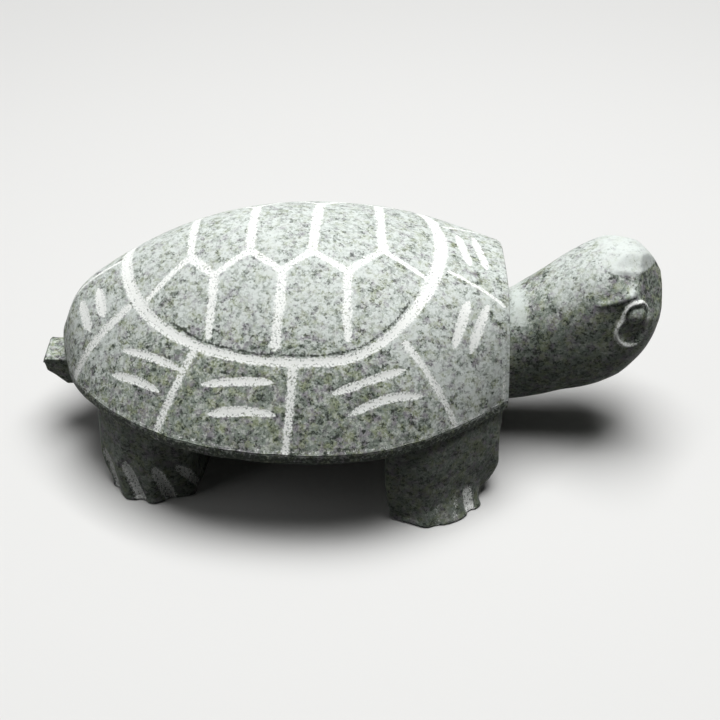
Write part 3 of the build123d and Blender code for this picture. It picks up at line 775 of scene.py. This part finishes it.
class TURTLE_OT_head(bpy.types.Operator):
    """Carve the neck and head with the facets of the face and the ringed eyes"""

    bl_idname = "turtle.head"
    bl_label = "Head and neck"

    def execute(self, context):
        sizes = context.scene.turtle_head
        mirrors = [np.array([1, side, 1]) for side in (-1, 1)]
        middle, spokes = head_grid(sizes, context.scene.turtle_shell.rim_height)
        for mirror in mirrors:
            for place, facing in HEAD_FACETS:
                spokes = trim(middle, spokes, mirror * place * MM, mirror * facing)
        grid = middle + spokes
        normal = outward(grid)
        grid = grid + normal * hand_cut(grid, 0.1 * MM, 14, 5, 11)[..., None]
        lift, pale, glint, painted_eye_shade = sum(eye_fields(sizes, grid, normal, mirror) for mirror in mirrors)
        x, y, z = np.moveaxis(grid / MM, -1, 0)
        root, off = x - SHELL_HIGH.x / MM, np.abs(y)
        edge = z - FOREHEAD_Z + FOREHEAD_FALL * (x - FOREHEAD_X)
        front = ramp(x, 42.5, 44.5)
        ledge = ramp(root, 16.5, 18.5) * ramp(off, 3.5, 5.0) * (1 - ramp(root, 21.5, 24.0))
        lift += 0.2 * MM * ledge * ramp(edge, -0.25, 0.25) * (1 - ramp(edge, 0.25, 0.9))
        grid = grid + normal * lift[..., None]
        rubbed = self.rubbed(grid, normal[..., 2], root, off, edge, front)
        # Painted light and shade of the head with its pale collar, and the eyes' painted glint and painted
        # shade
        masks = {"carved": pale, "rubbed": np.clip(rubbed + glint, -1, 1.35), "pitted": painted_eye_shade}
        make_piece("head_stone", grid, masks, ["head_and_neck"], stone_material("smooth_stone"))
        return {"FINISHED"}

    def rubbed(self, grid, rise, root, off, edge, front):
        """Share of painted light and of the pale collar, below 0 where it is painted shade. The painted
        light grows as the surface turns up. A pale collar, a real pale band, lies across the neck next to
        the shell, with a band of painted shade beyond it. In front the forehead's edge parts a top in
        painted light from a cheek in painted shade, which has a darker patch of painted shade toward the
        nose and a painted highlight as an upright stroke over the eye. Root, off and edge are the
        millimetres from the neck's root, from the middle and above the forehead's edge."""
        x = grid[..., 0] / MM
        # Painted light where the surface turns up, and painted shade in a band beyond the collar
        rubbed = ramp(rise, 0.15, 0.85) + 0.2 * ripple(grid, 7 * MM, 14)
        rubbed += 0.35 * ramp(x, 36, 44) * ramp(rise, 0.4, 0.9) - 0.6 * bell(root, 5.4, 1.6)
        # Painted shade on the cheek under the forehead's edge and toward the nose, painted light above that
        # edge
        below = front * (1 - ramp(edge, -0.4, 0.0))
        rubbed = np.minimum(rubbed, 1) * (1 - 0.8 * below) + 1.05 * front * ramp(edge, -0.2, 0.2)
        rubbed -= 0.8 * below * ramp(root, 21.3, 22.0) * ramp(edge, -6.5, -5.0) * ramp(off, 1.0, 2.0)
        # The pale collar is a real pale band of the stone
        band = np.abs(root - 2.5 - 0.2 * np.maximum(off - 3, 0))
        collar = (1 - ramp(band, 0.2, 1.3)) * (1 - ramp(off, 5.0, 7.5)) * ramp(rise, 0.1, 0.4)
        # Painted highlight: the upright stroke over the eye
        upright = bell(x, 47.5, 0.9) * ramp(edge, -5.2, -4.0) * (1 - ramp(edge, -1.5, 0.0))
        return rubbed + 0.6 * collar + 0.8 * upright


def outline_reach(outline, centre, turn):
    """Distance from the centre to a closed outline in each direction of turn: the nearest crossing of the
    ray with the outline's sides, evened out over a few degrees so that the corners are round."""
    outline = np.array(outline) - centre
    side = np.roll(outline, -1, axis=0) - outline
    ray = np.column_stack((np.cos(turn), np.sin(turn)))
    cross = ray[:, None, 0] * side[:, 1] - ray[:, None, 1] * side[:, 0]
    cross = np.where(np.abs(cross) < 1e-12, 1e-12, cross)
    reach = (outline[:, 0] * side[:, 1] - outline[:, 1] * side[:, 0]) / cross
    share = (outline[:, 0] * ray[:, None, 1] - outline[:, 1] * ray[:, None, 0]) / cross
    found = np.where((reach > 0) & (share >= -1e-9) & (share <= 1 + 1e-9), reach, np.inf).min(axis=1)
    steps = np.arange(-8, 9)
    weights = np.exp(-(steps / 2.4)**2)
    return sum(w * np.roll(found, k) for w, k in zip(weights, steps)) / weights.sum()


def leg_grid(sizes, rear_x, length, inner_y, reach, outlines, toes):
    """Closed right leg and the pale mask of its toe cuts. At each height the outline's distance in every
    direction is a spline through sole, shin and top, and the foot's edge is a quarter ellipse. The cuts are
    upright troughs whose width is measured round the leg, with a low swell beside them, and fade upward."""
    turn = full_turn(LEG_COLUMNS)
    centre = np.array([rear_x + LEG_MIDDLE[0] * length, -inner_y - LEG_MIDDLE[1] * reach])
    top_z = SHELL_LOW.z + OVERLAP
    levels = []
    for outline in outlines:
        places = [(rear_x + along * length, -inner_y - out * reach) for along, out in outline]
        levels.append(outline_reach(places, centre, turn))
    levels.insert(1, 0.25 * levels[0] + 0.75 * levels[1])
    foot, shin = np.linspace(0, FOOT_HEIGHT, 7)[1:], np.linspace(FOOT_HEIGHT, top_z, LEG_ROWS)[1:]
    heights = np.concatenate((foot, shin))
    reaches = spline((0, 0.45 * sizes.shin_height, sizes.shin_height, top_z), levels, heights)
    missing = np.clip(1 - heights / FOOT_HEIGHT, 0, 1)
    reaches = reaches - 0.5 * MM * (1 - np.sqrt(1 - missing**2))[:, None]
    pale = np.zeros_like(reaches)
    for low, high, tall, shade in toes:
        climb = heights[:, None] / (tall * sizes.toe_height)
        way = np.radians(low + (high - low) * np.clip(climb, 0, 1))
        gap = (turn - way + math.pi) % (2 * math.pi) - math.pi
        fade = 1 - ramp(climb, 0.7, 1.0)
        gap = np.abs(gap) * reaches / (0.5 * sizes.toe_width * np.maximum(fade, 0.3))
        cut = sizes.toe_depth * np.clip((1 - gap) / 0.6, 0, 1)
        swell = 0.15 * MM * bell(gap, 2.4, 1.0)
        reaches = reaches + shade * fade * (swell - cut)
        pale = np.maximum(pale, shade * fade * np.maximum(FADE_OUT - gap, 0))
    sole = np.array([[0.25], [0.55], [0.85], [0.97]]) * reaches[:1]
    reaches = np.concatenate((sole, reaches))
    pale = np.concatenate((np.zeros_like(sole), pale))
    heights = np.concatenate((np.zeros(len(sole)), heights))
    x = centre[0] + reaches * np.cos(turn)
    y = centre[1] + reaches * np.sin(turn)
    return np.stack((x, y, np.broadcast_to(heights[:, None], x.shape)), axis=-1), pale


class TURTLE_OT_legs(bpy.types.Operator):
    """Carve the four blocky legs with the cuts between their toes"""

    bl_idname = "turtle.legs"
    bl_label = "Legs"

    def execute(self, context):
        sizes = context.scene.turtle_legs
        inner = context.scene.turtle_body
        pairs = (
            ("front", FRONT_LEG_X, sizes.front_length, inner.chest_half_width, sizes.front_reach,
             FRONT_OUTLINES, FRONT_TOES),
            ("rear", REAR_LEG_X, sizes.rear_length, inner.hip_half_width, sizes.rear_reach,
             REAR_OUTLINES, REAR_TOES),
        )
        for end, *shape in pairs:
            for mirror, word in ((1, "right"), (-1, "left")):
                grid, pale = leg_grid(sizes, *shape)
                grid = grid * (1, mirror, 1)
                above_sole = ramp(grid[..., 2], 0.2 * MM, 1.2 * MM)
                grid = pushed(grid, above_sole * hand_cut(grid, 0.14 * MM, 11, 4, 21))
                material = stone_material("plain_stone")
                make_piece(f"{end}_{word}_foot", grid, {"carved": pale}, [f"{end}_{word}_leg"], material)
        return {"FINISHED"}


class TURTLE_OT_body(bpy.types.Operator):
    """Carve the belly block between the legs and the wedge of the tail"""

    bl_idname = "turtle.body"
    bl_label = "Belly and tail"

    def execute(self, context):
        sizes = context.scene.turtle_body
        self.belly(sizes)
        self.tail(sizes)
        return {"FINISHED"}

    def belly(self, sizes):
        """Loops across the body: superellipses of high power, whose half-width is interpolated between hips,
        bridge and chest. Toward both ends the sides and the lower half draw in as a quarter circle, and
        smaller loops close the ends."""
        top = SHELL_LOW.z + OVERLAP
        x = np.linspace(BODY_LOW.x, BODY_HIGH.x, BELLY_ROWS)
        hips, bridge, chest = sizes.hip_half_width, sizes.bridge_half_width, sizes.chest_half_width
        width = np.interp(x / MM, BELLY_STEPS, (hips, bridge, bridge, chest))
        missing = np.clip(1 - np.minimum(x - BODY_LOW.x, BODY_HIGH.x - x) / sizes.rounding, 0, 1)
        edge = sizes.rounding * (1 - np.sqrt(1 - missing**2))[:, None]
        level, upright = superellipse(full_turn(BELLY_COLUMNS), BELLY_POWER)
        half_height = (top - BODY_LOW.z) / 2
        y = (width[:, None] - 0.6 * edge) * level
        z = (BODY_LOW.z + top) / 2 + upright * np.where(upright < 0, half_height - edge, half_height)
        grid = across(x, y, z)
        shares = np.array([0.97, 0.75, 0.5, 0.25])
        rear = drawn_in(grid[0], grid[0].mean(axis=0), shares[::-1])
        front = drawn_in(grid[-1], grid[-1].mean(axis=0), shares)
        grid = np.concatenate((rear, grid, front))
        under = 1 - ramp(grid[..., 2], top - 3 * MM, top - MM)
        grid = pushed(grid, under * hand_cut(grid, 0.16 * MM, 9, 4, 31))
        make_piece("belly_stone", grid, {}, ["body"], stone_material("plain_stone"))

    def tail(self, sizes):
        """Loops across the tail: a superellipse of high power, flat on top, drawn in toward its underside.
        Its end face slopes from the flat top out to the tip and from there in again to the underside."""
        tip, root = TAIL_LOW.x + 0.8 * MM, BODY_LOW.x + MM
        x = tip + np.linspace(0, 1, TAIL_ROWS)**1.6 * (root - tip)
        from_tip = (x - tip) / MM
        top_z, under_z = TAIL_HIGH.z, TAIL_LOW.z
        tip_z = top_z - sizes.tail_tip_drop
        top = np.interp(from_tip, (0, 0.15, 0.5), (tip_z + 0.1 * MM, tip_z + 0.8 * MM, top_z - 0.05 * MM))
        under = np.interp(from_tip, (0, 0.3, 3.5), (tip_z - 0.1 * MM, tip_z - 2.2 * MM, under_z))
        width = np.interp(from_tip, (0, 0.5, 8), (0.85, 0.92, 1.0)) * sizes.tail_half_width
        level, upright = superellipse(full_turn(TAIL_COLUMNS), TAIL_POWER)
        y = width[:, None] * level * (0.84 + 0.16 * upright)
        z = ((top + under) / 2)[:, None] + ((top - under) / 2)[:, None] * upright
        grid = across(x, y, z)
        stray = np.minimum(0.12 * MM * (ripple(grid, 7 * MM, 41) - 1), 0)
        grid = pushed(grid, ramp(grid[..., 0], tip, tip + 2 * MM) * stray)
        # Painted light: the tail's top is paler where it faces up
        masks = {"rubbed": 0.5 * ramp(outward(grid)[..., 2], 0.6, 0.9)}
        make_piece("tail_stone", grid, masks, ["tail"], stone_material("smooth_stone"))


def empty_tree(owner):
    """Node tree of a new material or world, with no nodes in it."""
    owner.use_nodes = True
    owner.node_tree.nodes.clear()
    return owner.node_tree


def add_node(tree, kind, inputs=(), **settings):
    """New node with its settings, and its inputs set, or linked where the value is a socket."""
    node = tree.nodes.new(kind)
    for name, value in settings.items():
        setattr(node, name, value)
    for name, value in dict(inputs).items():
        if isinstance(value, bpy.types.NodeSocket):
            tree.links.new(value, node.inputs[name])
        else:
            node.inputs[name].default_value = value
    return node


def math_node(tree, operation, *values, clamp=False):
    """Output of one math node."""
    node = add_node(tree, "ShaderNodeMath", enumerate(values), operation=operation, use_clamp=clamp)
    return node.outputs[0]


def vector_node(tree, operation, inputs):
    """First output of one vector math node."""
    return add_node(tree, "ShaderNodeVectorMath", inputs, operation=operation).outputs[0]


def weighted_sum(tree, *parts):
    """Sum of values, each times its weight."""
    total = 0.0
    for value, weight in parts:
        total = math_node(tree, "MULTIPLY_ADD", value, weight, total)
    return total


def mix_colour(tree, factor, first, second):
    """Output of a colour mix."""
    node = add_node(tree, "ShaderNodeMix", {0: factor, 6: first, 7: second}, data_type="RGBA")
    return node.outputs[2]


def map_range(tree, value, low, high, to_low=0.0, to_high=1.0):
    """Value brought from one range to another and kept inside it."""
    inputs = enumerate((value, low, high, to_low, to_high))
    return add_node(tree, "ShaderNodeMapRange", inputs).outputs[0]


def seen_directly(tree):
    """1 for rays from the camera, or by way of gloss or glass, and 0 for the light on the turtle."""
    path = add_node(tree, "ShaderNodeLightPath").outputs
    seen = math_node(tree, "MAXIMUM", path["Is Camera Ray"], path["Is Transmission Ray"])
    return math_node(tree, "MAXIMUM", seen, path["Is Glossy Ray"])


def stone_group():
    """Node group of the speckled stone. Small and large cells, bent by noise, and three noises add up to a
    tone. Low tones are dark grains and high ones light grains, on a ground with patches of moss and slate.
    The mask of painted light and wear lays a paler crown over them, the light grains first: a painted sheen
    and painted light, and it raises the tone, or below 0 lowers it toward painted shade. The carved mask
    lays on pale cut stone with a ragged edge and with pits, fewer in its middle. The painted shade mask lays
    dark specks of painted shade. The height for the bump is the tone, rougher in the cuts and sunk in the
    painted shade specks."""
    tree = bpy.data.node_groups.get("speckled_stone")
    if tree:
        return tree
    tree = bpy.data.node_groups.new("speckled_stone", "ShaderNodeTree")
    sockets = [("INPUT", name, "NodeSocketColor") for name in STONE_COLOURS]
    sockets += [("INPUT", name, "NodeSocketFloat") for name in STONE_VALUES]
    sockets += [("OUTPUT", "Colour", "NodeSocketColor")]
    sockets += [("OUTPUT", name, "NodeSocketFloat") for name in ("Roughness", "Height")]
    for way, name, kind in sockets:
        tree.interface.new_socket(name=name, in_out=way, socket_type=kind)
    given = tree.nodes.new("NodeGroupInput").outputs
    carved = given["Carved"]

    place = add_node(tree, "ShaderNodeTexCoord").outputs["Object"]
    per_grain = math_node(tree, "DIVIDE", 1.0, given["Grain size"])
    scaled = vector_node(tree, "SCALE", {0: place, "Scale": per_grain})
    moved = vector_node(tree, "ADD", {0: scaled, 1: MOVED_BY})
    noises = {}
    for name, (scale, detail, roughness) in STONE_NOISES.items():
        vector = moved if name in MOVED_NOISES else scaled
        settings = {"Vector": vector, "Scale": scale, "Detail": detail, "Roughness": roughness}
        noises[name] = add_node(tree, "ShaderNodeTexNoise", settings).outputs["Fac"]
    warp = add_node(tree, "ShaderNodeTexNoise", {"Vector": scaled, "Scale": 1.3, "Detail": 3.0})
    warp = vector_node(tree, "SCALE", {0: warp.outputs["Color"], "Scale": 1.6})
    bent = vector_node(tree, "ADD", {0: scaled, 1: warp})
    cells = []
    for scale in (1.25, 0.5):
        cell = add_node(tree, "ShaderNodeTexVoronoi", {"Vector": bent, "Scale": scale}).outputs["Color"]
        cells.append(add_node(tree, "ShaderNodeSeparateColor", {0: cell}).outputs)
    small, large = cells

    tone = weighted_sum(
        tree, (noises["fine"], 0.6), (small[0], 0.4), (large[0], 0.3), (noises["clump"], 0.55),
        (noises["broad"], 0.35))
    tone = math_node(tree, "SUBTRACT", tone, MIDDLE_TONE)
    tone = math_node(tree, "MULTIPLY_ADD", tone, given["Contrast"], MIDDLE_TONE)
    tone = math_node(tree, "MULTIPLY_ADD", given["Rubbed"], 0.12, tone)
    moss = map_range(tree, math_node(tree, "MULTIPLY_ADD", small[1], 0.16, noises["moss"]), 0.56, 0.74)
    moss = math_node(tree, "MULTIPLY", moss, given["Contrast"])
    slate = map_range(tree, math_node(tree, "MULTIPLY_ADD", large[1], 0.12, noises["slate"]), 0.54, 0.7)
    colour = given["Ground"]
    for part, share, name in (
        (slate, 0.85, "Slate grains"),
        (moss, 0.75, "Moss grains"),
        (map_range(tree, tone, 1.17, 1.45), 0.85, "Light grains"),
        (map_range(tree, tone, 1.08, 0.86), 0.95, "Dark grains"),
    ):
        colour = mix_colour(tree, math_node(tree, "MULTIPLY", part, share), colour, given[name])

    from_light = map_range(tree, tone, 0.95, 1.4, -0.85, 0.0)
    # Painted sheen and painted light: the pale crown is laid where its mask is high
    painted_light_share = math_node(tree, "MULTIPLY_ADD", given["Rubbed"], 1.1, from_light)
    tinted = math_node(tree, "MAXIMUM", slate, moss)
    less = math_node(tree, "MULTIPLY_ADD", tinted, -0.28, 0.95)
    painted_light_share = math_node(tree, "MULTIPLY", map_range(tree, painted_light_share, 0.0, 1.0), less)
    dull = mix_colour(tree, 0.72, given["Ground"], given["Rubbed crown"])
    crown = mix_colour(tree, map_range(tree, tone, 0.85, 1.15), dull, given["Rubbed crown"])
    colour = mix_colour(tree, painted_light_share, colour, crown)

    ragged = math_node(tree, "MULTIPLY_ADD", noises["ragged"], 1.1, carved)
    ragged = math_node(tree, "MULTIPLY_ADD", noises["clump"], 0.9, ragged)
    pits = math_node(tree, "ADD", map_range(tree, carved, 0.45, 0.8, -0.06, 0.06), noises["pits"])
    pits = math_node(tree, "ADD", pits, map_range(tree, carved, 1.2, 1.6, 0.0, 0.13))
    pits = map_range(tree, pits, 0.46, 0.54, 0.12, 1.0)
    cut = math_node(tree, "MULTIPLY", map_range(tree, ragged, 1.42, 1.6), pits, clamp=True)
    colour = mix_colour(tree, cut, colour, given["Carved lines"])
    # Painted shade: dark specks where its mask is high
    painted_dark = math_node(tree, "MULTIPLY_ADD", noises["crumbs"], 1.7, given["Pitted"])
    painted_dark = map_range(tree, painted_dark, 1.66, 1.86, 0.0, 0.92)
    colour = mix_colour(tree, painted_dark, colour, given["Dark grains"])

    rough = map_range(tree, noises["fine"], 0.3, 0.7, 0.45, 0.6)
    rough = add_node(tree, "ShaderNodeMix", {0: cut, 2: rough, 3: 0.85}).outputs[0]
    raised = math_node(tree, "MULTIPLY", noises["fine"], cut)
    height = weighted_sum(tree, (tone, 0.6), (raised, 0.6), (painted_dark, -1.5))
    add_node(tree, "NodeGroupOutput", {"Colour": colour, "Roughness": rough, "Height": height})
    return tree


def stone_material(name):
    """Material of speckled stone, made once for each finish. All its colours but that of the carved lines
    take the finish's shade, which for the plain stone of legs and belly is painted shade."""
    material = bpy.data.materials.get(name)
    if material:
        return material
    look = bpy.context.scene.turtle_stone
    finish = STONE_FINISHES[name]
    material = bpy.data.materials.new(name)
    tree = empty_tree(material)
    inputs = {"Grain size": look.grain, "Contrast": finish["contrast"]}
    for mask in ("Carved", "Rubbed", "Pitted"):
        inputs[mask] = add_node(tree, "ShaderNodeAttribute", attribute_name=mask.lower()).outputs["Fac"]
    for socket, label in STONE_COLOURS.items():
        shade = 1.0 if label == "carved" else finish["shade"]
        inputs[socket] = (*(shade * part for part in getattr(look, label)), 1.0)
    stone = add_node(tree, "ShaderNodeGroup", inputs, node_tree=stone_group()).outputs
    bump = add_node(tree, "ShaderNodeBump", {
        "Strength": finish["bump"], "Distance": 0.12 * MM, "Height": stone["Height"]})
    surface = add_node(tree, "ShaderNodeBsdfPrincipled", {
        "Base Color": stone["Colour"], "Roughness": stone["Roughness"],
        "Normal": bump.outputs["Normal"], "IOR": 1.52, "Specular IOR Level": 0.08})
    add_node(tree, "ShaderNodeOutputMaterial", {"Surface": surface.outputs[0]})
    return material


class TURTLE_OT_stage(bpy.types.Operator):
    """Set up the pale floor, the overhead lamp, the even sky and the camera"""

    bl_idname = "turtle.stage"
    bl_label = "Stage"

    def execute(self, context):
        stage = context.scene.turtle_stage
        self.floor(stage)
        self.lights(context, stage)
        self.camera(context, stage)
        return {"FINISHED"}

    def floor(self, stage):
        """Flat pale floor: a wide sheet with one face, paler where it is seen than in the light that it
        throws back. Far from the turtle it passes into the shade of the background."""
        side = FLOOR_SPAN * Vector(CAD_BOUNDS[1]).length
        corners = [(-side, -side, 0), (side, -side, 0), (side, side, 0), (-side, side, 0)]
        mesh = bpy.data.meshes.new("floor")
        mesh.from_pydata(corners, [], [(0, 1, 2, 3)])
        material = bpy.data.materials.new("pale_floor")
        tree = empty_tree(material)
        seen = seen_directly(tree)
        glow = [FLOOR_GLOW * part for part in stage.floor]
        colour = mix_colour(tree, seen, (*glow, 1.0), (*stage.floor, 1.0))
        near = add_node(tree, "ShaderNodeBsdfDiffuse", {"Color": colour}).outputs[0]
        far = add_node(tree, "ShaderNodeEmission", {"Color": BACKGROUND}).outputs[0]
        place = add_node(tree, "ShaderNodeTexCoord").outputs["Object"]
        gap = add_node(tree, "ShaderNodeVectorMath", {0: place}, operation="LENGTH").outputs["Value"]
        fade = math_node(tree, "MULTIPLY", map_range(tree, gap, *FLOOR_FADE), seen)
        surface = add_node(tree, "ShaderNodeMixShader", {0: fade, 1: near, 2: far})
        add_node(tree, "ShaderNodeOutputMaterial", {"Surface": surface.outputs[0]})
        mesh.materials.append(material)
        floor = add_object("floor", mesh)

    def lights(self, context, stage):
        """A square lamp overhead and slightly behind, a weak one low behind the tail, and a sky of even
        strength."""
        for name, place, size, power in (
            ("overhead_lamp", (0.04, 0.05, stage.lamp_height), stage.lamp_size, stage.lamp_power),
            ("tail_lamp", TAIL_LAMP_PLACE, TAIL_LAMP_SIZE, stage.fill_power),
        ):
            lamp = bpy.data.lights.new(name, "AREA")
            lamp.size = size
            lamp.energy = power
            holder = add_object(name, lamp)
            holder.location = place
            holder.rotation_euler = (LAMP_TARGET - holder.location).to_track_quat("-Z", "Y").to_euler()
        world = bpy.data.worlds.new("even_sky")
        tree = empty_tree(world)
        strength = map_range(tree, seen_directly(tree), 0.0, 1.0, stage.sky, 1.0)
        sky = add_node(tree, "ShaderNodeBackground", {"Color": BACKGROUND, "Strength": strength})
        add_node(tree, "ShaderNodeOutputWorld", {"Surface": sky.outputs[0]})
        context.scene.world = world

    def camera(self, context, stage):
        """Camera at the photograph's viewing angle, at the turtle's side and above it."""
        lens = bpy.data.cameras.new("photo_camera")
        lens.lens = stage.focal_length
        lens.clip_start = 0.01
        holder = add_object("photo_camera", lens)
        back = Vector((0, -math.cos(stage.elevation), math.sin(stage.elevation)))
        holder.location = CAMERA_TARGET + back * stage.distance
        holder.rotation_euler = (-back).to_track_quat("-Z", "Y").to_euler()
        context.scene.camera = holder
        context.scene.view_settings.view_transform = "Standard"


class TURTLE_PT_panel(bpy.types.Panel):
    """Sizes and colours of the turtle, and a button for each group of pieces"""

    bl_idname = "TURTLE_PT_panel"
    bl_label = "Carved stone turtle"
    bl_space_type = "VIEW_3D"
    bl_region_type = "UI"
    bl_category = "Turtle"

    def draw(self, context):
        for group_name, _, operator in GROUPS:
            box = self.layout.box()
            group = getattr(context.scene, group_name)
            for name in group.__annotations__:
                box.prop(group, name)
            if operator:
                box.operator(operator.bl_idname)


GROUPS = (
    ("turtle_stone", TurtleStoneLook, None),
    ("turtle_shell", TurtleShellSizes, TURTLE_OT_shell),
    ("turtle_head", TurtleHeadSizes, TURTLE_OT_head),
    ("turtle_legs", TurtleLegSizes, TURTLE_OT_legs),
    ("turtle_body", TurtleBodySizes, TURTLE_OT_body),
    ("turtle_stage", TurtleStage, TURTLE_OT_stage),
)


def register():
    for name, group, operator in GROUPS:
        bpy.utils.register_class(group)
        setattr(bpy.types.Scene, name, bpy.props.PointerProperty(type=group))
        if operator:
            bpy.utils.register_class(operator)
    bpy.utils.register_class(TURTLE_PT_panel)


def unregister():
    bpy.utils.unregister_class(TURTLE_PT_panel)
    for name, group, operator in reversed(GROUPS):
        if operator:
            bpy.utils.unregister_class(operator)
        delattr(bpy.types.Scene, name)
        bpy.utils.unregister_class(group)


def main():
    register()
    bpy.ops.turtle.shell()
    bpy.ops.turtle.head()
    bpy.ops.turtle.legs()
    bpy.ops.turtle.body()
    bpy.ops.turtle.stage()


if __name__ == "__main__":
    main()
